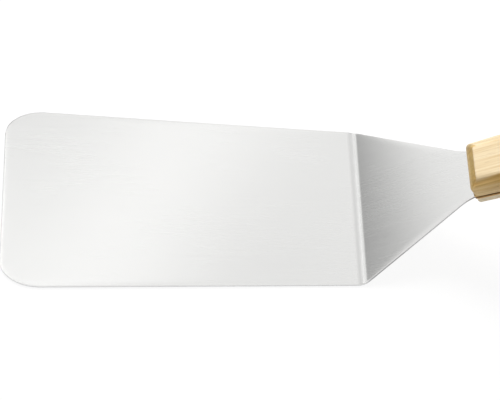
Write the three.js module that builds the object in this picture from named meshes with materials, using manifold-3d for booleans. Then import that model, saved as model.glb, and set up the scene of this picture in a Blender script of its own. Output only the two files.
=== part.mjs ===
// Griddle spatula. One folded steel sheet makes the blade, the neck and a full tang,
// and two wooden scales are held on the tang by two-piece rivets.
// Millimetres, +Z up. The blade lies flat on z = 0 with its middle at the origin,
// its front edge faces -X and the handle rises towards +X.

import * as THREE from 'three';
import { mergeVertices } from 'three/addons/utils/BufferGeometryUtils.js';
import Module from 'manifold-3d';

const wasm = await Module();
wasm.setup();

const { degToRad, lerp } = THREE.MathUtils;

// Sheet
const SHEET_THICKNESS = 1.2;

// Blade
const BLADE_LENGTH = 170; // front edge to bend line
const BLADE_FRONT_WIDTH = 98;
const BLADE_BACK_WIDTH = 86; // at the bend line
const CORNER_RUN = 19; // front corner, along the blade
const CORNER_REACH = 14; // front corner, across the blade
const SHOULDER_RADIUS = 17; // outer corner where the blade turns into the neck

// Neck
const NECK_LENGTH = 56; // bend line to crank line
const NECK_RISE = degToRad(34);
const BEND_RADIUS = 6.3; // on top of the sheet, inside the bend
const THROAT_RADIUS = 30; // where the neck's sides run into the tang

// Handle
const HANDLE_RISE = degToRad(31);
const CRANK_RADIUS = 60; // middle of the sheet, where the neck turns into the tang
const HANDLE_LEAD = 1; // straight tang ahead of the scales
const HANDLE_LENGTH = 120;
const HANDLE_FRONT_WIDTH = 26.8;
const HANDLE_BELLY_WIDTH = 30;
const HANDLE_BELLY_AT = 72; // front of the scales to their full width
const BUTT_RUN = 14; // length of the rounded butt
const BUTT_FLAT = 4; // width of the flat at the tip of the butt
const SCALE_THICKNESS = 8.8;
const CHAMFER_INSET = 5; // chamfers round the scales' outer faces, in plan
const UPPER_CHAMFER = 4.2; // their depth
const LOWER_CHAMFER = 5.3;
const SCALE_CORNER_RADIUS = 3; // front corners in plan
const TANG_INSET = 1.8; // tang edge inside the scales' edge
const GLUE_LINE = 0.3; // between the tang and each scale

// Rivets
const RIVET_NAMES = ['front', 'middle', 'rear'];
const RIVET_FRONT_MARGIN = 22; // front of the scales to the first rivet
const RIVET_BUTT_MARGIN = 26; // last rivet to the tip of the butt
const RIVET_HEAD_DIAMETER = 9;
const RIVET_HEAD_THICKNESS = 1.6;
const RIVET_CROWN = 0.4; // dome of the head above the scale
const RIVET_TUBE_DIAMETER = 5.2;
const RIVET_PIN_DIAMETER = 3;
const RIVET_CLEARANCE = 0.25;

// Facets
const CURVE_STEPS = 8;
const BEND_STEPS = 8;
const RIVET_FACETS = 28;
const LEAST_STATION = 0.1; // closest that two rows of the sheet may lie

// Finishes
const STEEL = { color: 0xdedfdd, roughness: 0.3, metalness: 1 };
const WOOD = { color: 0xe6cfa0, roughness: 0.6, metalness: 0 };
const RIVET_STEEL = { color: 0xc6c8c9, roughness: 0.35, metalness: 1 };

// Closed geometry to a solid, and back
function solid(geometry) {
  geometry.deleteAttribute('normal');
  geometry.deleteAttribute('uv');
  const { attributes, index } = mergeVertices(geometry);
  const vertProperties = new Float32Array(attributes.position.array);
  const triVerts = new Uint32Array(index.array);
  return new wasm.Manifold(new wasm.Mesh({ numProp: 3, vertProperties, triVerts }));
}

function surface(body) {
  const { vertProperties, triVerts } = body.getMesh();
  const geometry = new THREE.BufferGeometry();
  geometry.setAttribute('position', new THREE.BufferAttribute(vertProperties, 3));
  geometry.setIndex(new THREE.BufferAttribute(triVerts, 1));
  geometry.computeVertexNormals();
  return geometry;
}

function piece(name, geometry, finish) {
  const mesh = new THREE.Mesh(geometry, new THREE.MeshStandardMaterial(finish));
  mesh.name = name;
  return mesh;
}

// Distance from a sharp corner to where a round of this radius starts
function setback(radius, turn) {
  return radius * Math.tan(Math.abs(turn) / 2);
}

// Folds of the sheet, as stretches of its middle surface from the front edge to the butt
const bendRadius = BEND_RADIUS + SHEET_THICKNESS / 2;
const crankTurn = HANDLE_RISE - NECK_RISE;
const bendSetback = setback(bendRadius, NECK_RISE);
const crankSetback = setback(CRANK_RADIUS, crankTurn);
const bladeFlat = BLADE_LENGTH - bendSetback;
const bendArc = bendRadius * NECK_RISE;
const neckFlat = NECK_LENGTH - bendSetback - crankSetback;
const crankArc = CRANK_RADIUS * Math.abs(crankTurn);
const bendAt = bladeFlat + bendArc / 2;
const crankStart = bladeFlat + bendArc + neckFlat;
const handleAt = crankStart + crankArc + HANDLE_LEAD;
const stretches = [
  { length: bladeFlat, turn: 0 },
  { length: bendArc, turn: NECK_RISE },
  { length: neckFlat, turn: 0 },
  { length: crankArc, turn: crankTurn },
  { length: HANDLE_LEAD + HANDLE_LENGTH, turn: 0 },
];

// Place and slope of the middle surface at a distance along the sheet
function foldAt(distance) {
  let x = -BLADE_LENGTH / 2;
  let z = SHEET_THICKNESS / 2;
  let slope = 0;
  let left = distance;
  for (const { length, turn } of stretches) {
    const run = Math.min(left, length);
    const next = turn ? slope + (turn * run) / length : slope;
    if (turn) {
      const radius = length / turn;
      x += radius * (Math.sin(next) - Math.sin(slope));
      z += radius * (Math.cos(slope) - Math.cos(next));
    } else {
      x += run * Math.cos(slope);
      z += run * Math.sin(slope);
    }
    slope = next;
    left -= run;
  }
  return { x, z, slope };
}

// Line to a corner that is rounded off, leaving the edge before it and joining the edge after it
function roundCorner(path, corner, next, before, after = before) {
  const incoming = path.currentPoint.clone().sub(corner).normalize();
  const outgoing = next.clone().sub(corner).normalize();
  const turn = Math.PI - incoming.angleTo(outgoing);
  const pull = 1 - ((4 / 3) * Math.tan(turn / 4)) / Math.tan(turn / 2);
  const start = corner.clone().addScaledVector(incoming, before);
  const end = corner.clone().addScaledVector(outgoing, after);
  const leave = corner.clone().addScaledVector(incoming, before * pull);
  const join = corner.clone().addScaledVector(outgoing, after * pull);
  path.lineTo(start.x, start.y);
  path.bezierCurveTo(leave.x, leave.y, join.x, join.y, end.x, end.y);
}

function filletCorner(path, corner, next, radius) {
  const incoming = path.currentPoint.clone().sub(corner);
  const outgoing = next.clone().sub(corner);
  const reach = setback(radius, Math.PI - incoming.angleTo(outgoing));
  roundCorner(path, corner, next, Math.min(reach, incoming.length() / 2, outgoing.length() / 2));
}

// One side of the handle in plan, from its flare to its butt, set in by an inset for the tang
function flarePoint(start, inset) {
  return new THREE.Vector2(start + HANDLE_BELLY_AT / 2, HANDLE_BELLY_WIDTH / 2 - inset);
}

function traceHandle(path, start, inset) {
  const flare = flarePoint(start, inset);
  const buttStart = start + HANDLE_LENGTH - BUTT_RUN;
  const tip = Math.asin(BUTT_FLAT / 2 / flare.y);
  path.quadraticCurveTo(flare.x, flare.y, start + HANDLE_BELLY_AT, flare.y);
  path.lineTo(buttStart, flare.y);
  path.absellipse(buttStart, 0, BUTT_RUN - inset, flare.y, Math.PI / 2, tip, true);
}

// One side of the flat blank: half width against distance along the sheet
function blankSide() {
  const frontCorner = new THREE.Vector2(0, BLADE_FRONT_WIDTH / 2);
  const shoulder = new THREE.Vector2(bendAt, BLADE_BACK_WIDTH / 2);
  const throat = new THREE.Vector2(handleAt, HANDLE_FRONT_WIDTH / 2 - TANG_INSET);
  const side = new THREE.Path();
  side.moveTo(0, 0);
  roundCorner(side, frontCorner, shoulder, CORNER_REACH, CORNER_RUN);
  filletCorner(side, shoulder, throat, SHOULDER_RADIUS);
  filletCorner(side, throat, flarePoint(handleAt, TANG_INSET), THROAT_RADIUS);
  traceHandle(side, handleAt, TANG_INSET);
  return side.getPoints(CURVE_STEPS).slice(1);
}

// Blade, neck and tang: a box with a row of faces for each station, folded into place
function sheetStations(side) {
  const cuts = side.map(({ x }) => x);
  const arcs = [[bladeFlat, bendArc], [crankStart, crankArc]];
  for (const [start, arc] of arcs) {
    for (let step = 0; step <= BEND_STEPS; step += 1) {
      cuts.push(start + (arc * step) / BEND_STEPS);
    }
  }
  cuts.sort((a, b) => a - b);
  return cuts.filter((cut, i) => i === 0 || cut - cuts[i - 1] > LEAST_STATION);
}

function halfWidthAt(side, distance) {
  const after = Math.max(1, side.findIndex(({ x }) => x >= distance));
  const from = side[after - 1];
  const to = side[after];
  return lerp(from.y, to.y, (distance - from.x) / (to.x - from.x));
}

function sheetGeometry() {
  const side = blankSide();
  const stations = sheetStations(side);
  const rows = stations.length - 1;
  const geometry = new THREE.BoxGeometry(1, 1, 1, rows, 1, 1);
  const position = geometry.getAttribute('position');
  for (let i = 0; i < position.count; i += 1) {
    const distance = stations[Math.round((position.getX(i) + 0.5) * rows)];
    const across = 2 * position.getY(i) * halfWidthAt(side, distance);
    const height = position.getZ(i) * SHEET_THICKNESS;
    const { x, z, slope } = foldAt(distance);
    position.setXYZ(i, x - height * Math.sin(slope), across, z + height * Math.cos(slope));
  }
  return geometry;
}

// Rivets in the handle's frame: x from the front of the scales, z from the middle of the tang
const scaleSeat = SHEET_THICKNESS / 2 + GLUE_LINE;
const scaleFace = scaleSeat + SCALE_THICKNESS;
const headSeat = scaleFace - RIVET_HEAD_THICKNESS;
const headRadius = RIVET_HEAD_DIAMETER / 2;
const tubeRadius = RIVET_TUBE_DIAMETER / 2;
const pinRadius = RIVET_PIN_DIAMETER / 2;
const rivetPitch = (HANDLE_LENGTH - RIVET_FRONT_MARGIN - RIVET_BUTT_MARGIN) / (RIVET_NAMES.length - 1);
const rivets = RIVET_NAMES.map((name, i) => ({ name, at: RIVET_FRONT_MARGIN + i * rivetPitch }));

function roundBar(radius, bottom, top) {
  const bar = new THREE.CylinderGeometry(radius, radius, top - bottom, RIVET_FACETS);
  return bar.rotateX(Math.PI / 2).translate(0, 0, (top + bottom) / 2);
}

function turned(path) {
  return new THREE.LatheGeometry(path.getPoints(CURVE_STEPS / 2), RIVET_FACETS).rotateX(Math.PI / 2);
}

function rivetSocket() {
  const boreRadius = pinRadius + RIVET_CLEARANCE;
  const tubeTop = headSeat - RIVET_CLEARANCE;
  const profile = new THREE.Path();
  profile.moveTo(0, -scaleFace - RIVET_CROWN);
  profile.quadraticCurveTo(headRadius / 2, -scaleFace - RIVET_CROWN, headRadius, -scaleFace);
  profile.lineTo(headRadius, -headSeat);
  profile.lineTo(tubeRadius, -headSeat);
  profile.lineTo(tubeRadius, tubeTop);
  profile.lineTo(boreRadius, tubeTop);
  profile.lineTo(boreRadius, -headSeat);
  profile.lineTo(0, -headSeat);
  return turned(profile);
}

function rivetPin() {
  const tip = RIVET_CLEARANCE - headSeat;
  const profile = new THREE.Path();
  profile.moveTo(0, tip);
  profile.lineTo(pinRadius, tip);
  profile.lineTo(pinRadius, headSeat);
  profile.lineTo(headRadius, headSeat);
  profile.lineTo(headRadius, scaleFace);
  profile.quadraticCurveTo(headRadius / 2, scaleFace + RIVET_CROWN, 0, scaleFace + RIVET_CROWN);
  return turned(profile);
}

// Plan of a scale, with its front corners sharp or rounded
function scaleShape(cornerRadius) {
  const frontCorner = new THREE.Vector2(0, HANDLE_FRONT_WIDTH / 2);
  const side = new THREE.Path();
  side.moveTo(0, 0);
  if (cornerRadius) {
    roundCorner(side, frontCorner, flarePoint(0, 0), cornerRadius);
  } else {
    side.lineTo(frontCorner.x, frontCorner.y);
  }
  traceHandle(side, 0, 0);
  const half = side.getPoints(CURVE_STEPS).slice(1);
  const mirrored = half.map(({ x, y }) => new THREE.Vector2(x, -y)).reverse();
  return new THREE.Shape([...half, ...mirrored]);
}

// A scale: a block chamfered all round its outer face, bored and counterbored for the rivets
function scaleGeometry(chamfer) {
  const chamfered = new THREE.ExtrudeGeometry(scaleShape(0), {
    depth: SCALE_THICKNESS,
    bevelThickness: chamfer,
    bevelSize: CHAMFER_INSET,
    bevelOffset: -CHAMFER_INSET,
    bevelSegments: 1,
  });
  chamfered.translate(0, 0, scaleFace - chamfer - SCALE_THICKNESS);
  const rounded = new THREE.ExtrudeGeometry(scaleShape(SCALE_CORNER_RADIUS), {
    depth: 2 * SCALE_THICKNESS,
    bevelEnabled: false,
  });
  rounded.translate(0, 0, scaleSeat);
  let body = solid(chamfered).intersect(solid(rounded));
  for (const { at } of rivets) {
    const bore = roundBar(tubeRadius + RIVET_CLEARANCE, 0, headSeat);
    const counterbore = roundBar(headRadius + RIVET_CLEARANCE, headSeat - RIVET_CLEARANCE, 2 * scaleFace);
    body = body.subtract(solid(bore.translate(at, 0, 0)));
    body = body.subtract(solid(counterbore.translate(at, 0, 0)));
  }
  return surface(body);
}

// Handle frame: on the middle of the tang at the front of the scales
const handle = new THREE.Group();
const handleStart = foldAt(handleAt);
handle.position.set(handleStart.x, 0, handleStart.z);
handle.rotation.y = -HANDLE_RISE;
handle.updateMatrix();

function bladeGeometry() {
  let body = solid(sheetGeometry());
  for (const { at } of rivets) {
    const hole = roundBar(tubeRadius + RIVET_CLEARANCE, -2 * SHEET_THICKNESS, 2 * SHEET_THICKNESS);
    body = body.subtract(solid(hole.translate(at, 0, 0).applyMatrix4(handle.matrix)));
  }
  return surface(body);
}

const upperScale = piece('upper_scale', scaleGeometry(UPPER_CHAMFER), WOOD);
const lowerScale = piece('lower_scale', scaleGeometry(LOWER_CHAMFER), WOOD);
lowerScale.rotation.x = Math.PI;
handle.add(upperScale, lowerScale);

for (const { name, at } of rivets) {
  const socket = piece(`rivet_socket_${name}`, rivetSocket(), RIVET_STEEL);
  const pin = piece(`rivet_pin_${name}`, rivetPin(), RIVET_STEEL);
  socket.position.x = at;
  pin.position.x = at;
  handle.add(socket, pin);
}

const spatula = new THREE.Group();
spatula.add(piece('blade_and_tang', bladeGeometry(), STEEL), handle);

export default spatula;
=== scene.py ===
"""Griddle spatula: a brushed steel sheet, two wooden scales and their rivets, on a plain white floor."""

import math
from itertools import accumulate

import bmesh
import bpy
from bpy.props import FloatProperty, FloatVectorProperty, PointerProperty
from mathutils import Matrix, Vector
from mathutils.geometry import interpolate_bezier, intersect_point_line


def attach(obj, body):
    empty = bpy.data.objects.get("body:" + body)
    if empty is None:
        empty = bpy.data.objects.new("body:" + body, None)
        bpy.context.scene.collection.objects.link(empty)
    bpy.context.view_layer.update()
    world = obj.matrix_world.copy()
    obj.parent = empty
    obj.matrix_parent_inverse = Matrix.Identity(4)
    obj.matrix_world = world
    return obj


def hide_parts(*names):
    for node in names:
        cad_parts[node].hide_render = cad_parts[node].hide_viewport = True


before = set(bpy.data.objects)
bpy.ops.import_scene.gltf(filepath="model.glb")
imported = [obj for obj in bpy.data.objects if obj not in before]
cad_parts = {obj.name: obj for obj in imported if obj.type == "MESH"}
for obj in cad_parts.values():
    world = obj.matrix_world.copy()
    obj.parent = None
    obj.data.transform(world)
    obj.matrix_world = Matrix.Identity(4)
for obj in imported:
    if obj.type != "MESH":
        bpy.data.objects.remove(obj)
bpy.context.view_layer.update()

bl_info = {
    "name": "Griddle spatula",
    "version": (1, 0, 0),
    "blender": (4, 5, 0),
    "location": "3D View > Sidebar > Spatula",
    "description": "Builds a griddle spatula and its studio around the packed frame",
    "category": "Object",
}

BODY = "root"
RIVETS = ("front", "middle", "rear")
# Pixels of the image, and millimetres of the camera's sensor.
IMAGE_WIDTH = 500
SENSOR_WIDTH = 36

MM = 0.001
# Lengths that differ by less than this count as equal.
TINY = 0.01 * MM
# Vertices closer than this are merged.
MERGE_DISTANCE = 0.001 * MM
# Reach of the round on an edge with a bevel weight of 1.
ROUND_UNIT = 2 * MM
# Steps of a whole turn, and of a small round.
TURN_STEPS = 64
ROUND_STEPS = 3
# An edge that turns more than this is a rim, which gets a round.
RIM_ANGLE = math.radians(60)
# Depth of the relief in the materials.
BRUSH_DEPTH = 0.05 * MM
GRAIN_DEPTH = 0.1 * MM


def length(name, description, millimetres):
    return FloatProperty(name=name, description=description, default=millimetres * MM, unit="LENGTH")


def lengths(name, description, *millimetres):
    """A place, a size or a stretch: two or three lengths."""
    metres = [value * MM for value in millimetres]
    return FloatVectorProperty(
        name=name, description=description, default=metres, size=len(metres), unit="LENGTH"
    )


def angle(name, description, degrees):
    return FloatProperty(name=name, description=description, default=math.radians(degrees), subtype="ANGLE")


def share(name, description, value):
    return FloatProperty(name=name, description=description, default=value, min=0, max=1, subtype="FACTOR")


def amount(name, description, value):
    return FloatProperty(name=name, description=description, default=value)


def amounts(name, description, *values):
    return FloatVectorProperty(name=name, description=description, default=values, size=len(values))


def power(name, description, watts):
    return FloatProperty(name=name, description=description, default=watts, unit="POWER")


def colour(name, description, *value):
    return FloatVectorProperty(name=name, description=description, default=value, size=3, subtype="COLOR")


class SheetSizes(bpy.types.PropertyGroup):
    """Sizes of the folded steel sheet."""

    thickness: length("Thickness", "Thickness of the steel sheet", 1.2)
    blade_length: length("Blade length", "Front edge to bend line", 170)
    # A hair under the solid's 98 mm, so that the rounded corners stay inside its box.
    front_width: length("Front width", "Width of the blade at its front edge", 97.97)
    back_width: length("Back width", "Width of the blade at the bend line", 86)
    corner_run: length("Corner run", "Front corner along the blade", 19)
    corner_reach: length("Corner reach", "Front corner across the blade", 14)
    shoulder_radius: length("Shoulder radius", "Corner where the blade turns into the neck", 17)
    neck_length: length("Neck length", "Bend line to crank line", 56)
    neck_rise: angle("Neck rise", "Slope of the neck", 34)
    bend_radius: length("Bend radius", "Inside radius of the bend, on top of the sheet", 6.3)
    throat_radius: length("Throat radius", "Where the neck's sides run into the tang", 30)
    edge_round: length("Edge round", "Rounding of the sheet's cut edges", 0.2)
    roll_run: length("Roll run", "Width of the roll that shearing leaves along the top edges", 4)
    roll_depth: length("Roll depth", "Depth of that roll at the edge", 0.12)
    iron_run: length("Iron run", "Distance from the bend in which the press irons the roll flat", 22)


class HandleSizes(bpy.types.PropertyGroup):
    """Sizes of the tang and the two scales on it."""

    rise: angle("Rise", "Slope of the handle", 31)
    crank_radius: length("Crank radius", "Where the neck turns into the tang", 60)
    lead: length("Lead", "Straight tang ahead of the scales", 1)
    length: length("Length", "Front of the scales to the tip of the butt", 120)
    front_width: length("Front width", "Width of the scales at their front", 26.8)
    belly_width: length("Belly width", "Full width of the scales", 30)
    belly_at: length("Belly at", "Front of the scales to their full width", 72)
    butt_run: length("Butt run", "Length of the rounded butt", 14)
    butt_flat: length("Butt flat", "Width of the flat at the tip of the butt", 4)
    outer_face: length("Outer face", "Middle of the tang to a scale's outer face", 9.7)
    upper_chamfer: length("Upper chamfer", "Depth of the chamfer round the upper scale", 4.2)
    lower_chamfer: length("Lower chamfer", "Depth of the chamfer round the lower scale", 5.3)
    side_inset: length("Side inset", "Width of the chamfers along the sides, in plan", 5)
    front_inset: length("Front inset", "Width of the chamfers at the front, in plan", 4.4)
    corner_radius: length("Corner radius", "Front corners of a scale in plan", 3)
    mitre_radius: length("Mitre radius", "Rounding where the front and side chamfers meet", 2)
    side_radius: length("Side radius", "Rounding between the outer face and the side chamfers", 1.5)
    soft_radius: length("Soft radius", "What that rounding gains towards the front corners", 3.2)
    soft_run: length("Soft run", "Length in which it gains that", 18)
    front_radius: length("Front radius", "Rounding between the outer face and the front chamfer", 0.7)
    wall_radius: length("Wall radius", "Rounding between the chamfers and the walls", 0.9)
    seat_radius: length("Seat radius", "Rounding of a scale's edge on the tang", 0.3)
    tang_inset: length("Tang inset", "Tang edge inside the scales' edge", 1.8)
    glue_line: length("Glue line", "Gap between the tang and each scale", 0.3)


class RivetSizes(bpy.types.PropertyGroup):
    """Sizes of the two-piece rivets."""

    front_margin: length("Front margin", "Front of the scales to the first rivet", 22)
    butt_margin: length("Butt margin", "Last rivet to the tip of the butt", 26)
    head_diameter: length("Head diameter", "Diameter of both heads", 9)
    head_thickness: length("Head thickness", "Rim of a head to its seat", 1.6)
    crown: length("Crown", "Dome of a head above the scale", 0.4)
    rim_round: length("Rim round", "Rounding of a head's rim", 0.25)
    tube_diameter: length("Tube diameter", "Outside of the socket's tube", 5.2)
    pin_diameter: length("Pin diameter", "Diameter of the pin", 3)
    clearance: length("Clearance", "Gap round a rivet", 0.05)


class SteelFinish(bpy.types.PropertyGroup):
    """Colours and gloss of the steel, some of them painted light and shade, and where they change, as level
    distances.
    """

    sheet: colour("Sheet", "Brushed steel of the sheet", 0.785, 0.785, 0.775)
    sheet_roughness: share("Sheet roughness", "Roughness of the brushed steel", 0.26)
    sheet_lines: amount("Sheet lines", "Brushed lines per metre across the sheet", 2400)
    rivet: colour("Rivet", "Ground steel of the rivets", 0.62, 0.62, 0.62)
    rivet_roughness: share("Rivet roughness", "Roughness of the rivet heads", 0.32)
    rivet_lines: amount("Rivet lines", "Ground lines per metre across the heads", 3600)
    contrast: amounts("Contrast", "Brightness of the darkest and the lightest lines", 0.975, 1.02)
    # The press line is partly real, a dull line that adds roughness, and partly painted shade: its darker
    # colour stands for a dark reflection along the bend.
    mark_at: length("Mark at", "Start of the bend to the dull line that the press leaves", 0.9)
    mark_fade: lengths("Mark fade", "Distances from that line at which it fades and ends", 0.1, 2.3)
    mark_painted_shade: amount("Mark shade", "Brightness of that line", 0.8)
    mark_roughness: share("Mark roughness", "What that line adds to the roughness", 0.05)
    ground_edge: colour("Ground edge", "Smoothed edge of the blade", 0.9, 0.9, 0.9)
    # The neck's cut edge is partly the duller sheared steel and partly painted shade: its dark grey stands
    # for the edge's dark reflection.
    cut_edge: colour("Cut edge", "Sheared edge of the neck", 0.4, 0.4, 0.4)
    edge_roughness: share("Edge roughness", "Roughness of the edges", 0.42)
    cut_after: length("Cut after", "Behind the mark, where the edge is fully sheared", 6)
    # Painted reflection: a lighter stretch of the neck's sheared edge stands for a bright reflection, and
    # it fades out again under the painted shade near the handle.
    painted_reflection: lengths("Rubbed", "Behind the mark, where the sheared edge turns brighter", 14, 28)
    painted_reflection_share: share("Rubbed share", "How much brighter the rubbed edge is", 0.4)
    # Painted shade: from just ahead of the scales the edge turns dark brown and less metallic, standing for
    # the handle's shadow on the neck's edge and for the shaded gap between the scales, with the wood seen
    # in it.
    tang_edge: colour("Tang edge", "Edge between the scales, dulled by oil", 0.13, 0.07, 0.03)
    handle_shade_at: lengths("Oil at", "Behind the front of the scales, where the oil starts and is full", -5, 3)
    handle_shade_cover: share("Oil cover", "How much of the metal the oil hides", 0.7)
    handle_shade_roughness: share("Oil roughness", "What the oil adds to the roughness", 0.2)


class WoodFinish(bpy.types.PropertyGroup):
    """Colours of the wood, some of them painted light and shade, and where they change, measured in the
    frame of the handle.
    """

    pale: colour("Pale", "Early wood", 0.87, 0.72, 0.48)
    deep: colour("Deep", "Late wood", 0.71, 0.51, 0.255)
    late_share: share("Late share", "Share of late wood in even grain", 0.32)
    pore: colour("Pore", "Pores in the grain", 0.40, 0.25, 0.11)
    pore_share: share("Pore share", "How strong the pores are", 0.3)
    roughness: share("Roughness", "Roughness of the oiled wood", 0.5)
    # Painted light: the lower scale is painted paler, standing for light bounced up from the floor.
    lower: colour("Lower scale", "Paler wood of the lower scale", 0.93, 0.85, 0.69)
    lower_light_share: share("Lower share", "How strong that paler wood is", 0.4)
    lower_tint: share("Lower tint", "How strong the tints below are on the lower scale", 0.1)
    scale_blur: length("Scale blur", "Blur between the two scales' colours", 0.2)
    # Painted shade: the right side's saturated tint stands for the shade on that side, and the left side's
    # grey tint darkens that more strongly lit side; the streaks are grain, tinted with the same painted
    # shade.
    right: colour("Right side", "Tint of the right side, darkened by handling", 1.0, 0.85, 0.52)
    streak: colour("Streaks", "Tint of the dark streaks on the right side", 0.65, 0.49, 0.2)
    left: colour("Left side", "Tint of the left side", 0.76, 0.75, 0.72)
    side_blur: length("Side blur", "Blur between the tints of the two sides", 7)
    # The end tint is partly the darker end grain and partly painted shade on the front chamfer; it turns
    # darker and greyer towards the left corner.
    end: colour("End grain", "Tint of the end grain at the front", 0.64, 0.52, 0.24)
    fresh_end: amount("Fresh end", "Brightness of the end grain between the streaks", 1.18)
    end_shift: length("End shift", "How far the end grain runs past the left mitre", 2)
    end_blur: length("End blur", "Blur between the end grain and the sides", 0.3)
    corner: colour("Corner", "Tint of the end grain at the left corner", 0.42, 0.40, 0.34)
    corner_at: lengths("Corner at", "Where the corner's tint starts and is full", 8, 13)
    # Painted shade: the side tints are full on the chamfers, weaker on the walls below, and left off the
    # top face near the outer face, reaching deeper near the front.
    side_shade_edge: length("Burnish edge", "Height at which the burnish of the chamfers ends", 6.8)
    side_shade_blur: length("Burnish blur", "Blur of that edge", 0.5)
    wall_tint: share("Wall tint", "How strong the tints are below the burnish", 0.65)
    shade_free: lengths("Sanded", "Depths below the outer face where the sanding ends and is full", 0.5, 0.05)
    soft_from: length("Soft from", "Behind the front, up to where the sanding reaches deepest", 4)
    soft_depth: length("Soft depth", "How much deeper the sanding reaches there", 1.3)
    # Painted shade in the slot along the tang: the ledge's orange is partly a glue stain and partly painted
    # bounce light between the scales, and the deeper dark brown is a painted shadow.
    seat: colour("Seat", "Wood stained by the glue along the tang", 0.98, 0.64, 0.28)
    seat_at: lengths("Seat at", "Heights at which that stain fades and ends", 0.95, 1.2)
    slot: colour("Slot", "Dirt in the slot along the tang", 0.26, 0.14, 0.055)
    slot_at: lengths("Slot at", "Depths in the slot at which the dirt starts and is full", 0.5, 0.9)


class StudioSettings(bpy.types.PropertyGroup):
    """Camera, floor and lights."""

    azimuth: angle("Azimuth", "Camera's place round the object", -12.377)
    elevation: angle("Elevation", "Camera's height above the horizon", 57.522)
    roll: angle("Roll", "Camera's turn about its own axis", 12.308)
    distance: length("Distance", "Camera to the point that it faces", 863.282)
    target: lengths("Target", "Point on the floor that the camera faces", 32.601, 2.562, 0)
    focal_pixels: amount("Focal pixels", "Camera's focal length in pixels of the image", 1800)
    ambient: amount("Ambient", "Strength of the world's light on matt surfaces", 0.42)
    floor_size: length("Floor size", "Side of the square floor", 12000)
    floor_drop: length("Floor drop", "Floor below the blade's underside", 0.2)
    floor_matt: share("Floor matt", "Grey that takes the object's shadow", 0.14)
    floor_bounce: share("Floor bounce", "Grey that throws light back on the object", 0.8)
    floor_glow: amounts("Floor glow", "Brightness of the floor near the object and far away", 0.885, 0.941)
    floor_turn: lengths("Floor turn", "Distances at which that brightness changes", 500, 2000)
    floor_mirrored: share("Floor mirrored", "Share of the floor's look that metal shows", 0.5)
    key_power: power("Key power", "Power of the lamp that lights the scene", 16)
    strip_power: power("Strip power", "Power of the lamp that the blade mirrors", 0.055)
    bend_power: power("Bend power", "Power of the lamp that the bend mirrors", 0.19)


class Term:
    """A shader socket that can stand in a Python expression."""

    def __init__(self, graph, socket):
        self.graph = graph
        self.socket = socket

    def combine(self, operation, first, second):
        return self.graph.node("ShaderNodeMath", {"operation": operation}, {0: first, 1: second})

    def __add__(self, other):
        return self.combine("ADD", self, other)

    def __sub__(self, other):
        return self.combine("SUBTRACT", self, other)

    def __rsub__(self, other):
        return self.combine("SUBTRACT", other, self)

    def __mul__(self, other):
        return self.combine("MULTIPLY", self, other)

    def __pow__(self, other):
        return self.combine("POWER", self, other)

    def __abs__(self):
        return self.graph.node("ShaderNodeMath", {"operation": "ABSOLUTE"}, {0: self})

    __radd__ = __add__
    __rmul__ = __mul__

    def swing(self, size):
        """Turns a noise into a change of a value, up and down alike."""
        return (self - 0.5) * size

    def span(self, low, high):
        """Turns a mask into a value from low to high."""
        return self * (high - low) + low


class Graph:
    """The nodes of a material or the world."""

    def __init__(self, owner):
        owner.use_nodes = True
        self.tree = owner.node_tree
        self.tree.nodes.clear()

    def node(self, kind, settings=None, sockets=None, output=0):
        """Adds a node with its settings and the values or links of its sockets."""
        made = self.tree.nodes.new(kind)
        for name, value in (settings or {}).items():
            setattr(made, name, value)
        for name, value in (sockets or {}).items():
            if isinstance(value, Term):
                self.tree.links.new(value.socket, made.inputs[name])
            else:
                made.inputs[name].default_value = value
        return Term(self, made.outputs[output]) if len(made.outputs) else None

    def outputs(self, term, *names):
        """Other outputs of the node that a term comes from."""
        return [Term(self, term.socket.node.outputs[name]) for name in names]

    def place(self):
        """Object coordinates."""
        return self.node("ShaderNodeTexCoord", output="Object")

    def axes(self, vector):
        return self.outputs(self.node("ShaderNodeSeparateXYZ", None, {"Vector": vector}), "X", "Y", "Z")

    def mix(self, factor, first, second, blend="MIX"):
        settings = {"data_type": "RGBA", "blend_type": blend, "clamp_factor": True}
        return self.node("ShaderNodeMix", settings, {0: factor, 6: first, 7: second}, output=2)

    def ramp(self, value, low, high):
        """0 below low, 1 above high, and smooth between them."""
        sockets = {"Value": value, "From Min": low, "From Max": high}
        return self.node("ShaderNodeMapRange", {"interpolation_type": "SMOOTHSTEP"}, sockets)

    def past(self, value, edge, blur):
        """0 before an edge and 1 past it, with a blur on both sides."""
        return self.ramp(value, edge - blur, edge + blur)

    def noise(self, vector, counts, detail, roughness):
        """Noise with so many forms per metre along each axis."""
        mapped = self.node("ShaderNodeMapping", None, {"Vector": vector, "Scale": counts})
        sockets = {"Vector": mapped, "Scale": 1, "Detail": detail, "Roughness": roughness}
        return self.node("ShaderNodeTexNoise", None, sockets)


def rgba(tint, brightness=1):
    return (*(min(1, value * brightness) for value in tint), 1)


def grey(value):
    return (value, value, value, 1)


def finish_surface(graph, sockets):
    shader = graph.node("ShaderNodeBsdfPrincipled", None, sockets)
    graph.node("ShaderNodeOutputMaterial", None, {"Surface": shader})


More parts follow.
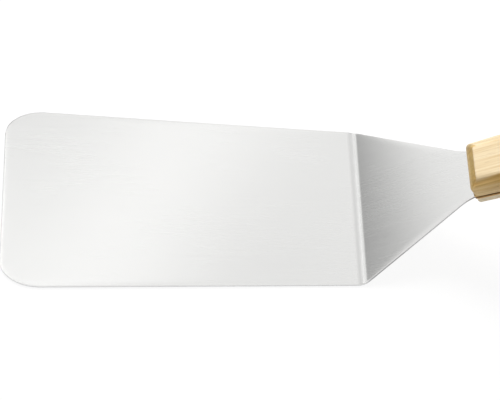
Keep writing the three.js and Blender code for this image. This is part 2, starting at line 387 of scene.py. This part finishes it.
def brushed_steel(name, finish, tint, roughness, lines, mark=None):
    """Steel with fine lines along X and faint clouds, and at a mark the dull line of the press, darkened in
    colour as painted shade for a dark reflection.
    """
    material = bpy.data.materials.new(name)
    graph = Graph(material)
    spot = graph.place()
    hair = graph.noise(spot, (26, lines, 26), detail=3, roughness=0.65)
    streak = graph.noise(spot, (12, lines / 5, 12), detail=2, roughness=0.5)
    cloud = graph.noise(spot, (18, 26, 18), detail=3, roughness=0.55)
    tone = 0.5 + hair.swing(0.8) + streak.swing(0.5) + cloud.swing(0.3)
    shade = graph.mix(tone, *(rgba(tint, brightness) for brightness in finish.contrast))
    rough = roughness + hair.swing(0.08) + cloud.swing(0.05)
    if mark is not None:
        along, _, _ = graph.axes(spot)
        dull = 1 - graph.ramp(abs(along - mark), *finish.mark_fade)
        # Painted shade: the colour darkens along the press line, standing for a dark reflection on the
        # bend.
        shade = graph.mix(dull, shade, rgba(tint, finish.mark_painted_shade))
        rough = rough + dull * finish.mark_roughness
    relief = {"Strength": 0.2, "Distance": BRUSH_DEPTH, "Height": hair + streak * 0.5}
    bump = graph.node("ShaderNodeBump", None, relief)
    finish_surface(graph, {"Base Color": shade, "Metallic": 1, "Roughness": rough, "Normal": bump})
    return material


def sheared_steel(finish, mark, handle_front):
    """Cut edge of the sheet: smooth and pale on the blade; on the neck sheared and dark grey, partly
    painted shade, with a stretch of painted reflection; dark brown painted shade near and between the
    scales.
    """
    material = bpy.data.materials.new("sheared_edge")
    graph = Graph(material)
    spot = graph.place()
    nicks = graph.noise(spot, (1500, 1500, 200), detail=2, roughness=0.6)
    along, _, _ = graph.axes(spot)
    # Painted shade of the handle and of the gap between the scales, on the edge.
    handle_shade = graph.ramp(along, *(handle_front + value for value in finish.handle_shade_at))
    # Painted reflection on the neck's edge, taken away again near the handle.
    painted_reflection = graph.ramp(along, *(mark + value for value in finish.painted_reflection)) - handle_shade
    # Painted shade, partly real: the sheared neck edge turns dark grey, standing for its dark reflection.
    sheared = graph.ramp(along, mark, mark + finish.cut_after) * (1 - painted_reflection * finish.painted_reflection_share)
    bare = graph.mix(sheared * (1 + nicks.swing(0.6)), rgba(finish.ground_edge), rgba(finish.cut_edge))
    finish_surface(graph, {
        "Base Color": graph.mix(handle_shade, bare, rgba(finish.tang_edge)),
        "Metallic": 1 - handle_shade * finish.handle_shade_cover,
        "Roughness": finish.edge_roughness + nicks.swing(0.15) + handle_shade * finish.handle_shade_roughness,
    })
    return material


def handle_wood(finish, handle, matrix):
    """Pale straight-grained wood, with painted shade on its sides and chamfers, painted light on the lower
    scale and painted shade in the slot along the tang.
    """
    material = bpy.data.materials.new("handle_wood")
    graph = Graph(material)
    turned = {"Vector": graph.place(), "Location": matrix.translation, "Rotation": matrix.to_euler()}
    spot = graph.node("ShaderNodeMapping", {"vector_type": "TEXTURE"}, turned)
    along, across, height = graph.axes(spot)
    aside, away = abs(across), abs(height)

    def fibres(lengthwise, crosswise, detail, roughness):
        """Noise that is drawn out along the grain."""
        return graph.noise(spot, (lengthwise, crosswise, crosswise), detail, roughness)

    broad = fibres(7, 190, detail=2, roughness=0.5)
    fibre = fibres(22, 900, detail=3, roughness=0.6)
    line = graph.ramp(fibres(10, 620, detail=2, roughness=0.5), 0.56, 0.74)
    pore = graph.ramp(fibres(150, 2600, detail=1, roughness=0.5), 0.64, 0.74)
    streak = graph.ramp(fibres(9, 420, detail=4, roughness=0.7), 0.42, 0.6)
    late = finish.late_share + broad.swing(1.6) + fibre.swing(2.2) + line * 0.9
    wood = graph.mix(late, rgba(finish.pale), rgba(finish.deep))
    wood = graph.mix(pore * finish.pore_share, wood, rgba(finish.pore))
    upper = graph.past(height, 0, finish.scale_blur)
    # Painted light: paler colour on the lower scale for the floor's bounce light.
    wood = graph.mix((1 - upper) * finish.lower_light_share, wood, rgba(finish.lower))

    # Painted shade on each side of the handle.
    left = graph.past(across, 0, finish.side_blur)
    tint = graph.mix(streak, rgba(finish.right), rgba(finish.streak))
    tint = graph.mix(left, tint, rgba(finish.left))
    # End grain tint of the front chamfer, partly painted shade.
    slant = handle.front_inset / handle.side_inset
    mitre = (handle.front_width / 2 - aside) * slant + left * finish.end_shift
    end = graph.past(mitre - along, 0, finish.end_blur)
    end_tint = graph.mix(streak, rgba(finish.end, finish.fresh_end), rgba(finish.end))
    end_tint = graph.mix(graph.ramp(across, *finish.corner_at), end_tint, rgba(finish.corner))
    tint = graph.mix(end, tint, end_tint)

    # Where the painted side shade is full, weaker or left off, and less of it on the lower scale.
    side_shade = graph.past(away, finish.side_shade_edge, finish.side_shade_blur).span(finish.wall_tint, 1)
    soft = (1 - graph.ramp(along, finish.soft_from, handle.soft_run)) * (1 - end)
    shade_free_end, shade_free_full = (handle.outer_face - depth for depth in finish.shade_free)
    shade_free = graph.ramp(away, shade_free_end - soft * finish.soft_depth, shade_free_full)
    tinted = side_shade * upper.span(finish.lower_tint, 1) * (1 - shade_free)
    wood = graph.mix(tinted, wood, tint, "MULTIPLY")

    taper = {0: 1 - along * (1 / handle.belly_at), 1: 0}
    taper = graph.node("ShaderNodeMath", {"operation": "MAXIMUM"}, taper)
    half = handle.belly_width / 2 - taper**2 * ((handle.belly_width - handle.front_width) / 2)
    # Painted shade in the slot: orange on the ledge, a dark painted shadow deeper in.
    slot_shade = graph.ramp(half - aside, *finish.slot_at)
    slot_ledge = 1 - graph.ramp(away, *finish.seat_at)
    wood = graph.mix(slot_ledge, wood, graph.mix(slot_shade, rgba(finish.seat), rgba(finish.slot)))

    relief = {"Strength": 0.25, "Distance": GRAIN_DEPTH, "Height": fibre * 0.6 - pore}
    finish_surface(graph, {
        "Base Color": wood,
        "Roughness": finish.roughness + fibre.swing(0.2) + pore * 0.15,
        "Normal": graph.node("ShaderNodeBump", None, relief),
    })
    return material


def add_object(name, maker, materials):
    """Turns a finished bmesh into an object of the scene."""
    mesh = bpy.data.meshes.new(name)
    maker.to_mesh(mesh)
    maker.free()
    for material in materials:
        mesh.materials.append(material)
    made = bpy.data.objects.new(name, mesh)
    bpy.context.scene.collection.objects.link(made)
    return made


def add_piece(name, maker, materials, node):
    """Adds a piece of the spatula in place of a node of the frame."""
    piece = add_object(name, maker, materials)
    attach(piece, BODY)
    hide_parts(node)
    return piece


def cut(piece, maker):
    """Finishes a piece's modifiers, takes a tool's shape out of it and removes the tool."""
    tool = add_object("tool", maker, [])
    modifier = piece.modifiers.new("Holes", "BOOLEAN")
    modifier.object = tool
    modifier.solver = "EXACT"
    drilled = bpy.data.meshes.new_from_object(piece.evaluated_get(bpy.context.evaluated_depsgraph_get()))
    piece.modifiers.clear()
    spent = (piece.data, tool.data)
    piece.data = drilled
    bpy.data.objects.remove(tool)
    for mesh in spent:
        bpy.data.meshes.remove(mesh)
    drilled.name = piece.name


def smooth(piece, sharp_angle):
    """Shades a piece smooth, apart from the edges that turn more than an angle."""
    piece.data.shade_smooth()
    piece.data.set_sharp_from_angle(angle=sharp_angle)
    modifier = piece.modifiers.new("Weighted normals", "WEIGHTED_NORMAL")
    modifier.keep_sharp = True


def rims(maker):
    return [edge for edge in maker.edges if edge.calc_face_angle() > RIM_ANGLE]


def bevel(maker, edges, offset):
    bmesh.ops.bevel(
        maker, geom=edges, offset=offset, segments=ROUND_STEPS, profile=0.5, affect="EDGES", material=-1,
        clamp_overlap=False, loop_slide=True,
    )


def add_bar(maker, radius, bottom, top, matrix):
    """Adds a round bar on the Z axis of a frame."""
    middle = Matrix.Translation((0, 0, (bottom + top) / 2))
    bmesh.ops.create_cone(
        maker, cap_ends=True, segments=TURN_STEPS, radius1=radius, radius2=radius, depth=top - bottom,
        matrix=matrix @ middle,
    )


def turn_profile(maker, profile, matrix):
    """Turns a profile of radius and height once round the Z axis of a frame."""
    verts = [maker.verts.new(matrix @ Vector((radius, 0, height))) for radius, height in profile]
    edges = [maker.edges.new(pair) for pair in zip(verts, verts[1:])]
    bmesh.ops.spin(
        maker, geom=verts + edges, cent=matrix.translation, axis=matrix.col[2].to_3d(), angle=math.tau,
        steps=TURN_STEPS, use_merge=True,
    )
    bmesh.ops.remove_doubles(maker, verts=maker.verts, dist=MERGE_DISTANCE)
    bmesh.ops.recalc_face_normals(maker, faces=maker.faces)


def setback(radius, turn):
    """Distance from a corner to the start of its round."""
    return radius * math.tan(abs(turn) / 2)


def round_corner(start, corner, end, before, after, steps):
    """Points of a smooth round from the edge before a corner to the edge after it."""
    incoming = (start - corner).normalized()
    outgoing = (end - corner).normalized()
    turn = math.pi - incoming.angle(outgoing)
    pull = 1 - 4 / 3 * math.tan(turn / 4) / math.tan(turn / 2)
    return interpolate_bezier(
        corner + incoming * before, corner + incoming * before * pull,
        corner + outgoing * after * pull, corner + outgoing * after, steps,
    )


def fillet(start, corner, end, radius, steps):
    """Points of a round of one radius."""
    reach = setback(radius, math.pi - (start - corner).angle(end - corner))
    return round_corner(start, corner, end, reach, reach, steps)


def handle_side(handle, start, inset, steps):
    """One side of the handle in plan, from its front to its butt, set in by an inset."""
    half = handle.belly_width / 2 - inset
    front = Vector((start, handle.front_width / 2 - inset))
    flare = Vector((start + handle.belly_at / 2, half))
    belly = Vector((start + handle.belly_at, half))
    butt = start + handle.length - handle.butt_run
    tip = math.asin(handle.butt_flat / 2 / half)
    points = []
    for step in range(1, steps + 1):
        t = step / steps
        points.append(front * (1 - t) ** 2 + flare * 2 * t * (1 - t) + belly * t**2)
    for step in range(2 * steps + 1):
        turn = math.pi / 2 + (tip - math.pi / 2) * step / (2 * steps)
        points.append(Vector((butt + (handle.butt_run - inset) * math.cos(turn), half * math.sin(turn))))
    return points


class Fold:
    """The sheet's folded middle surface, measured along its length from the front edge."""

    def __init__(self, sheet, handle):
        crank = handle.rise - sheet.neck_rise
        radius = sheet.bend_radius + sheet.thickness / 2
        bend_setback = setback(radius, sheet.neck_rise)
        crank_setback = setback(handle.crank_radius, crank)
        self.start = Vector((-sheet.blade_length / 2, 0, sheet.thickness / 2))
        self.stretches = [
            (sheet.blade_length - bend_setback, 0),
            (radius * sheet.neck_rise, sheet.neck_rise),
            (sheet.neck_length - bend_setback - crank_setback, 0),
            (handle.crank_radius * abs(crank), crank),
            (handle.lead + handle.length, 0),
        ]
        blade_end, bend_end, neck_end, crank_end, _ = accumulate(run for run, _ in self.stretches)
        self.bend = (blade_end, bend_end)
        self.crank = (neck_end, crank_end)
        self.handle_at = crank_end + handle.lead

    def at(self, distance):
        """Place and slope at a distance along the sheet."""
        spot = self.start.copy()
        slope = 0
        for run, turn in self.stretches:
            part = min(distance, run)
            after = slope + turn * part / run
            middle = (slope + after) / 2
            chord = part
            if turn and part:
                chord = 2 * run / turn * math.sin((after - slope) / 2)
            spot += chord * Vector((math.cos(middle), 0, math.sin(middle)))
            slope = after
            distance -= part
        return spot, slope

    def handle_matrix(self):
        """Frame of the handle, on the middle of the tang at the front of the scales."""
        spot, slope = self.at(self.handle_at)
        return Matrix.Translation(spot) @ Matrix.Rotation(-slope, 4, "Y")


def blank_side(sheet, handle, fold, steps):
    """One side of the flat blank, as distance along the sheet and half width."""
    start = Vector((0, 0))
    corner = Vector((0, sheet.front_width / 2))
    shoulder = Vector((sum(fold.bend) / 2, sheet.back_width / 2))
    throat = Vector((fold.handle_at, handle.front_width / 2 - handle.tang_inset))
    flare = Vector((fold.handle_at + handle.belly_at / 2, handle.belly_width / 2 - handle.tang_inset))
    side = round_corner(start, corner, shoulder, sheet.corner_reach, sheet.corner_run, 2 * steps)
    side += fillet(corner, shoulder, throat, sheet.shoulder_radius, steps)
    side += fillet(shoulder, throat, flare, sheet.throat_radius, steps)
    tang = handle_side(handle, fold.handle_at, handle.tang_inset, steps)
    return side + [point for point in tang if point.x > side[-1].x]


def stations(side, fold, bend_steps, closest, widest):
    """Distances along the sheet at which it has a row of vertices."""
    marks = {round(point.x, 6) for point in side}
    for first, last in (fold.bend, fold.crank):
        marks |= {round(first + (last - first) * i / bend_steps, 6) for i in range(bend_steps + 1)}
    rows = [min(marks)]
    for mark in sorted(marks)[1:]:
        gap = mark - rows[-1]
        if gap < closest:
            continue
        pieces = math.ceil(gap / widest)
        rows += [mark - gap * (pieces - i) / pieces for i in range(1, pieces + 1)]
    return rows


def half_width(side, distance):
    """Half the width of the blank at a distance along it."""
    for before, after in zip(side, side[1:]):
        if after.x >= distance and after.x > before.x:
            return before.y + (after.y - before.y) * (distance - before.x) / (after.x - before.x)
    return side[-1].y


def rivet_places(handle, rivet):
    """Distances of the rivets from the front of the scales."""
    pitch = (handle.length - rivet.front_margin - rivet.butt_margin) / (len(RIVETS) - 1)
    return [rivet.front_margin + i * pitch for i in range(len(RIVETS))]


class SPATULA_OT_sheet(bpy.types.Operator):
    """Build the blade, neck and tang from one folded sheet"""

    bl_idname = "spatula.sheet"
    bl_label = "Steel sheet"

    plan_steps = 12
    bend_steps = 16
    roll_steps = 5
    widest_row = 8 * MM
    # Rows stay this many edge rounds apart, so that the rounds don't overlap.
    closest_rounds = 1.5
    sharp_angle = math.radians(40)

    def execute(self, context):
        scene = context.scene
        sheet, handle, finish = scene.spatula_sheet, scene.spatula_handle, scene.spatula_steel
        fold = Fold(sheet, handle)
        maker = self.folded_blank(sheet, handle, fold)
        bevel(maker, rims(maker), sheet.edge_round)
        # The round of the front edge doesn't bulge past the blade's length.
        for vertex in maker.verts:
            vertex.co.x = max(vertex.co.x, fold.start.x)
        mark = fold.at(fold.bend[0])[0].x + finish.mark_at
        face = brushed_steel(
            "brushed_sheet", finish, finish.sheet, finish.sheet_roughness, finish.sheet_lines, mark
        )
        edge = sheared_steel(finish, mark, fold.at(fold.handle_at)[0].x)
        piece = add_piece("steel_sheet", maker, [face, edge], "blade_and_tang")
        cut(piece, self.drill(scene, fold))
        smooth(piece, self.sharp_angle)
        return {"FINISHED"}

    def folded_blank(self, sheet, handle, fold):
        """A unit cube that is sliced into rows and columns and laid along the fold."""
        side = blank_side(sheet, handle, fold, self.plan_steps)
        closest = self.closest_rounds * sheet.edge_round
        rows = stations(side, fold, self.bend_steps, closest, self.widest_row)
        maker = bmesh.new()
        bmesh.ops.create_cube(maker, size=1)
        self.slice(maker, "y", 2 * self.roll_steps)
        self.slice(maker, "x", len(rows) - 2)
        maker.normal_update()
        for face in maker.faces:
            face.material_index = int(abs(face.normal.z) < 0.5)
        for vertex in maker.verts:
            distance = rows[round((vertex.co.x + 0.5) * (len(rows) - 1))]
            column = round((0.5 - abs(vertex.co.y)) * (2 * self.roll_steps + 1))
            half = half_width(side, distance)
            half -= min(half / 2, sheet.roll_run) * column / self.roll_steps
            height = vertex.co.z * sheet.thickness
            if vertex.co.z > 0:
                height -= self.roll(sheet, side, sum(fold.bend) / 2, Vector((distance, half)))
            spot, slope = fold.at(distance)
            up = Vector((-math.sin(slope), 0, math.cos(slope))) * height
            vertex.co = spot + up + Vector((0, math.copysign(half, vertex.co.y), 0))
        return maker

    def slice(self, maker, axis, cuts):
        """Slices the unit cube across an axis."""
        edges = []
        for edge in maker.edges:
            first, last = (getattr(vertex.co, axis) for vertex in edge.verts)
            if abs(first - last) > 0.5:
                edges.append(edge)
        bmesh.ops.subdivide_edges(maker, edges=edges, cuts=cuts, use_grid_fill=True)

    def roll(self, sheet, side, bend, point):
        """Depth of the sheared roll at a point of the blank, less and less towards the bend."""
        away = point.x
        for before, after in zip(side, side[1:]):
            nearest, part = intersect_point_line(point, before, after)
            nearest = before if part < 0 else after if part > 1 else nearest.to_2d()
            away = min(away, (point - nearest).length)
        ironed = min(1, abs(point.x - bend) / sheet.iron_run) ** 2
        return sheet.roll_depth * ironed * max(0, 1 - away / sheet.roll_run) ** 3

    def drill(self, scene, fold):
        """The rivet holes in the tang."""
        rivet = scene.spatula_rivet
        radius = rivet.tube_diameter / 2 + rivet.clearance
        reach = 2 * scene.spatula_sheet.thickness
        tool = bmesh.new()
        for spot in rivet_places(scene.spatula_handle, rivet):
            add_bar(tool, radius, -reach, reach, fold.handle_matrix() @ Matrix.Translation((spot, 0, 0)))
        return tool


class SPATULA_OT_scales(bpy.types.Operator):
    """Build the two wooden scales"""

    bl_idname = "spatula.scales"
    bl_label = "Wooden scales"

    plan_steps = 14
    round_steps = 5
    sharp_angle = math.radians(35)
    # How far the surface turns at the edges of a scale.
    wall_turn = math.radians(90)
    chamfer_turn = math.radians(45)
    mitre_turn = math.radians(60)

    def execute(self, context):
        scene = context.scene
        handle = scene.spatula_handle
        matrix = Fold(scene.spatula_sheet, handle).handle_matrix()
        below = matrix @ Matrix.Rotation(math.pi, 4, "X")
        wood = handle_wood(scene.spatula_wood, handle, matrix)
        self.scale(scene, "upper", matrix, handle.upper_chamfer, wood)
        self.scale(scene, "lower", below, handle.lower_chamfer, wood)
        return {"FINISHED"}

    def scale(self, scene, name, matrix, chamfer, wood):
        maker = self.block(scene.spatula_sheet, scene.spatula_handle, chamfer)
        bmesh.ops.transform(maker, matrix=matrix, verts=maker.verts)
        piece = add_piece(f"{name}_wood_scale", maker, [wood], f"{name}_scale")
        rounds = piece.modifiers.new("Rounds", "BEVEL")
        rounds.limit_method = "WEIGHT"
        rounds.width = ROUND_UNIT
        rounds.segments = self.round_steps
        rounds.use_clamp_overlap = False
        cut(piece, self.drill(scene.spatula_handle, scene.spatula_rivet, matrix))
        smooth(piece, self.sharp_angle)

    def block(self, sheet, handle, chamfer):
        """A block chamfered all round its outer face, with a weight on each edge for its round."""
        seat = sheet.thickness / 2 + handle.glue_line
        wall = handle.outer_face - chamfer
        half = [Vector((0, handle.front_width / 2))] + handle_side(handle, 0, 0, self.plan_steps)
        plan = half + [Vector((point.x, -point.y)) for point in reversed(half)]
        maker = bmesh.new()
        base = maker.faces.new([maker.verts.new((point.x, point.y, seat)) for point in plan])
        made = bmesh.ops.extrude_face_region(maker, geom=[base])["geom"]
        top = next(item for item in made if isinstance(item, bmesh.types.BMFace))
        bmesh.ops.translate(maker, verts=top.verts, vec=(0, 0, wall - seat))
        bmesh.ops.recalc_face_normals(maker, faces=maker.faces)
        bmesh.ops.inset_region(
            maker, faces=[top], thickness=handle.side_inset, depth=chamfer, use_even_offset=True
        )
        for vertex in top.verts:
            if vertex.co.x < handle.side_inset + TINY:
                vertex.co.x = handle.front_inset
        weights = maker.edges.layers.float.new("bevel_weight_edge")
        for edge in maker.edges:
            edge[weights] = self.reach(handle, wall, edge) / ROUND_UNIT
        return maker

    def reach(self, handle, wall, edge):
        """How far the round of an edge reaches on both sides of it."""
        low, high = sorted((vertex.co for vertex in edge.verts), key=lambda co: co.z)
        level = high.z - low.z < TINY
        front = max(low.x, high.x) < handle.front_inset + TINY
        if level and low.z < wall - TINY:
            return setback(handle.seat_radius, self.wall_turn)
        if level and low.z < wall + TINY:
            return setback(handle.wall_radius, self.chamfer_turn)
        if level and front:
            return setback(handle.front_radius, self.chamfer_turn)
        if level:
            soft = max(0, 1 - (low.x + high.x) / 2 / handle.soft_run)
            return setback(handle.side_radius + handle.soft_radius * soft, self.chamfer_turn)
        if not front:
            return 0
        if low.z < wall - TINY:
            return setback(handle.corner_radius, self.wall_turn)
        return setback(handle.mitre_radius, self.mitre_turn)

    def drill(self, handle, rivet, matrix):
        """The stepped bores for the rivets."""
        tube = rivet.tube_diameter / 2 + rivet.clearance
        head = rivet.head_diameter / 2 + rivet.clearance
        step = handle.outer_face - rivet.head_thickness - rivet.clearance
        top = 2 * handle.outer_face
        tool = bmesh.new()
        for spot in rivet_places(handle, rivet):
            profile = [(0, 0), (tube, 0), (tube, step), (head, step), (head, top), (0, top)]
            turn_profile(tool, profile, matrix @ Matrix.Translation((spot, 0, 0)))
        return tool


class SPATULA_OT_rivets(bpy.types.Operator):
    """Build the rivet pins and sockets"""

    bl_idname = "spatula.rivets"
    bl_label = "Rivets"

    crown_steps = 6
    sharp_angle = math.radians(35)

    def execute(self, context):
        scene = context.scene
        handle, rivet, finish = scene.spatula_handle, scene.spatula_rivet, scene.spatula_steel
        matrix = Fold(scene.spatula_sheet, handle).handle_matrix()
        steel = brushed_steel(
            "ground_rivet", finish, finish.rivet, finish.rivet_roughness, finish.rivet_lines
        )
        seat = handle.outer_face - rivet.head_thickness
        end = rivet.clearance - seat
        pin = rivet.pin_diameter / 2
        bore = pin + rivet.clearance
        tube = rivet.tube_diameter / 2
        shanks = {
            "pin": (0, [(0, end), (pin, end), (pin, seat)]),
            "socket": (math.pi, [(0, seat), (bore, seat), (bore, end), (tube, end), (tube, seat)]),
        }
        for name, spot in zip(RIVETS, rivet_places(handle, rivet)):
            for half, (turn, shank) in shanks.items():
                maker = bmesh.new()
                turn_profile(maker, shank + self.head(handle, rivet, seat), Matrix.Identity(4))
                rim = [edge for edge in rims(maker) if edge.verts[0].co.z > handle.outer_face - TINY]
                bevel(maker, rim, rivet.rim_round)
                placed = matrix @ Matrix.Translation((spot, 0, 0)) @ Matrix.Rotation(turn, 4, "X")
                bmesh.ops.transform(maker, matrix=placed, verts=maker.verts)
                node = f"rivet_{half}_{name}"
                piece = add_piece(f"{node}_turned", maker, [steel], node)
                smooth(piece, self.sharp_angle)
        return {"FINISHED"}

    def head(self, handle, rivet, seat):
        """Profile of a head from its seat over its rim to the middle of its crown."""
        radius = rivet.head_diameter / 2
        points = [(radius, seat)]
        for step in range(self.crown_steps + 1):
            out = 1 - step / self.crown_steps
            points.append((radius * out, handle.outer_face + rivet.crown * (1 - out**2)))
        return points


def columns(*axes):
    """A matrix that turns and scales X, Y and Z into three given axes."""
    return Matrix(axes).transposed().to_4x4()


class SPATULA_OT_studio(bpy.types.Operator):
    """Set up the floor, the light and the camera"""

    bl_idname = "spatula.studio"
    bl_label = "Studio"

    def execute(self, context):
        scene = context.scene
        studio = scene.spatula_studio
        self.floor(studio)
        self.world(scene, studio)
        self.lamps(scene, studio)
        self.cards()
        self.camera(scene, studio)
        scene.view_settings.view_transform = "Standard"
        return {"FINISHED"}

    def seen(self, graph, mirrored):
        """1 for rays that show the background from the camera, and a share by way of metal or glass."""
        straight = graph.node("ShaderNodeLightPath", output="Is Camera Ray")
        glossy, through = graph.outputs(straight, "Is Glossy Ray", "Is Transmission Ray")
        return straight + (glossy + through) * mirrored

    def floor(self, studio):
        material = bpy.data.materials.new("floor_white")
        graph = Graph(material)
        matt = graph.node("ShaderNodeBsdfDiffuse", None, {"Color": grey(studio.floor_matt)})
        bounce = graph.node("ShaderNodeBsdfDiffuse", None, {"Color": grey(studio.floor_bounce)})
        reach = graph.node("ShaderNodeVectorMath", {"operation": "LENGTH"}, {0: graph.place()}, "Value")
        near, far = (grey(value) for value in studio.floor_glow)
        shade = graph.mix(graph.ramp(reach, *studio.floor_turn), near, far)
        glow = graph.node("ShaderNodeEmission", None, {"Color": shade, "Strength": 1})
        shown = graph.node("ShaderNodeAddShader", None, {0: matt, 1: glow})
        seen = self.seen(graph, studio.floor_mirrored)
        mixed = graph.node("ShaderNodeMixShader", None, {0: seen, 1: bounce, 2: shown})
        graph.node("ShaderNodeOutputMaterial", None, {"Surface": mixed})
        maker = bmesh.new()
        bmesh.ops.create_grid(maker, x_segments=1, y_segments=1, size=studio.floor_size / 2)
        bmesh.ops.translate(maker, verts=maker.verts, vec=(0, 0, -studio.floor_drop))
        floor = add_object("floor", maker, [material])

    def world(self, scene, studio):
        scene.world = bpy.data.worlds.new("studio_white")
        graph = Graph(scene.world)
        strength = self.seen(graph, 1).span(studio.ambient, 1)
        glow = graph.node("ShaderNodeBackground", None, {"Color": grey(1), "Strength": strength})
        graph.node("ShaderNodeOutputWorld", None, {"Surface": glow})

    def lamps(self, scene, studio):
        """A key lamp that lights the scene, and two dim lamps that the metal mirrors."""
        self.lamp(
            scene, "key_lamp", studio.key_power, aim=(0, 0, 0), back=(0.12, 0.68, 0.72), distance=1200,
            along=(0, 0, 1), size=(800, 600), mirrored=False,
        )
        self.lamp(
            scene, "strip_lamp", studio.strip_power, aim=(19, 367, 0), back=(0, 0, 1), distance=600,
            along=(0.463, 0.886, 0), size=(80, 500),
        )
        self.lamp(
            scene, "bend_lamp", studio.bend_power, aim=(85, 0, 2), back=(-0.336, 0.525, 0.782),
            distance=900, along=(0, 1, 0), size=(60, 700),
        )

    def lamp(self, scene, name, watts, aim, back, distance, along, size, mirrored=True):
        """An oblong lamp that the camera doesn't see, its lengths in millimetres."""
        data = bpy.data.lights.new(name, "AREA")
        data.shape = "RECTANGLE"
        data.size, data.size_y = (side * MM for side in size)
        data.energy = watts
        lamp = bpy.data.objects.new(name, data)
        scene.collection.objects.link(lamp)
        back = Vector(back).normalized()
        wide = Vector(along).cross(back).normalized()
        spot = Matrix.Translation((Vector(aim) + back * distance) * MM)
        lamp.matrix_world = spot @ columns(wide, back.cross(wide), back)
        lamp.visible_camera = False
        lamp.visible_glossy = mirrored

    def cards(self):
        """Two leaning cards beside the neck and the handle, and two level ones over the blade."""
        self.card(
            "neck_card", spot=(-239, 200, 130), facing=(0, -1, 0), up=(0.66, 0, 0.75), size=(500, 300),
            tones=(0.16, 1.3), turn=(18, 70),
        )
        self.card(
            "rear_card", spot=(470, -470, 190), facing=(1, -1, 0), up=(0.424, 0.424, 0.8), size=(800, 800),
            tones=(0.35, 1), turn=(80, 220),
        )
        level = {"facing": (0, 0, -1), "up": (0, 1, 0)}
        self.card("blade_card", spot=(118, 290, 600), size=(90, 120), tones=[0.84], **level)
        self.card("corner_card", spot=(-245, 703, 820), size=(315, 274), tones=[0.62], **level)

    def card(self, name, spot, facing, up, size, tones, turn=None):
        """A glowing card that only metal shows, its lengths in millimetres.

        It has one tone, or two that change between two heights along its side.
        """
        material = bpy.data.materials.new(name)
        graph = Graph(material)
        up = Vector(up).normalized()
        shade = grey(tones[0])
        if turn:
            low, high = (mark * MM for mark in turn)
            sockets = {0: graph.place(), 1: up}
            height = graph.node("ShaderNodeVectorMath", {"operation": "DOT_PRODUCT"}, sockets, "Value")
            shade = graph.mix((height - low) * (1 / (high - low)), shade, grey(tones[1]))
        glow = graph.node("ShaderNodeEmission", None, {"Color": shade, "Strength": 1})
        graph.node("ShaderNodeOutputMaterial", None, {"Surface": glow})
        across = Vector(facing).normalized().cross(up)
        wide, tall = (side * MM for side in size)
        placed = Matrix.Translation(Vector(spot) * MM) @ columns(across * wide, up * tall, across.cross(up))
        maker = bmesh.new()
        bmesh.ops.create_grid(maker, x_segments=1, y_segments=1, size=0.5)
        bmesh.ops.transform(maker, matrix=placed, verts=maker.verts)
        card = add_object(name, maker, [material])
        card.visible_camera = False
        card.visible_diffuse = False
        card.visible_shadow = False

    def camera(self, scene, studio):
        flat = math.cos(studio.elevation)
        back = Vector((
            math.sin(studio.azimuth) * flat,
            -math.cos(studio.azimuth) * flat,
            math.sin(studio.elevation),
        ))
        level = Vector((0, 0, 1)).cross(back).normalized()
        upright = back.cross(level)
        right = level * math.cos(studio.roll) + upright * math.sin(studio.roll)
        data = bpy.data.cameras.new("camera")
        data.sensor_width = SENSOR_WIDTH
        data.lens = studio.focal_pixels / IMAGE_WIDTH * SENSOR_WIDTH
        camera = bpy.data.objects.new("camera", data)
        scene.collection.objects.link(camera)
        spot = Matrix.Translation(Vector(studio.target) + back * studio.distance)
        camera.matrix_world = spot @ columns(right, back.cross(right), back)
        scene.camera = camera


class SPATULA_PT_panel(bpy.types.Panel):
    """Sizes, finishes and builders of the spatula"""

    bl_idname = "SPATULA_PT_panel"
    bl_label = "Griddle spatula"
    bl_space_type = "VIEW_3D"
    bl_region_type = "UI"
    bl_category = "Spatula"

    def draw(self, context):
        for name, group in PROPERTIES.items():
            box = self.layout.box()
            box.label(text=group.__doc__)
            for setting in group.__annotations__:
                box.prop(getattr(context.scene, name), setting)
        for operator in OPERATORS:
            self.layout.operator(operator.bl_idname)


PROPERTIES = {
    "spatula_sheet": SheetSizes,
    "spatula_handle": HandleSizes,
    "spatula_rivet": RivetSizes,
    "spatula_steel": SteelFinish,
    "spatula_wood": WoodFinish,
    "spatula_studio": StudioSettings,
}
OPERATORS = (SPATULA_OT_studio, SPATULA_OT_sheet, SPATULA_OT_scales, SPATULA_OT_rivets)
CLASSES = (*PROPERTIES.values(), *OPERATORS, SPATULA_PT_panel)


def register():
    for item in CLASSES:
        bpy.utils.register_class(item)
    for name, group in PROPERTIES.items():
        setattr(bpy.types.Scene, name, PointerProperty(type=group))


def unregister():
    for name in PROPERTIES:
        delattr(bpy.types.Scene, name)
    for item in reversed(CLASSES):
        bpy.utils.unregister_class(item)


def main():
    register()
    bpy.ops.spatula.studio()
    bpy.ops.spatula.sheet()
    bpy.ops.spatula.scales()
    bpy.ops.spatula.rivets()


if __name__ == "__main__":
    main()
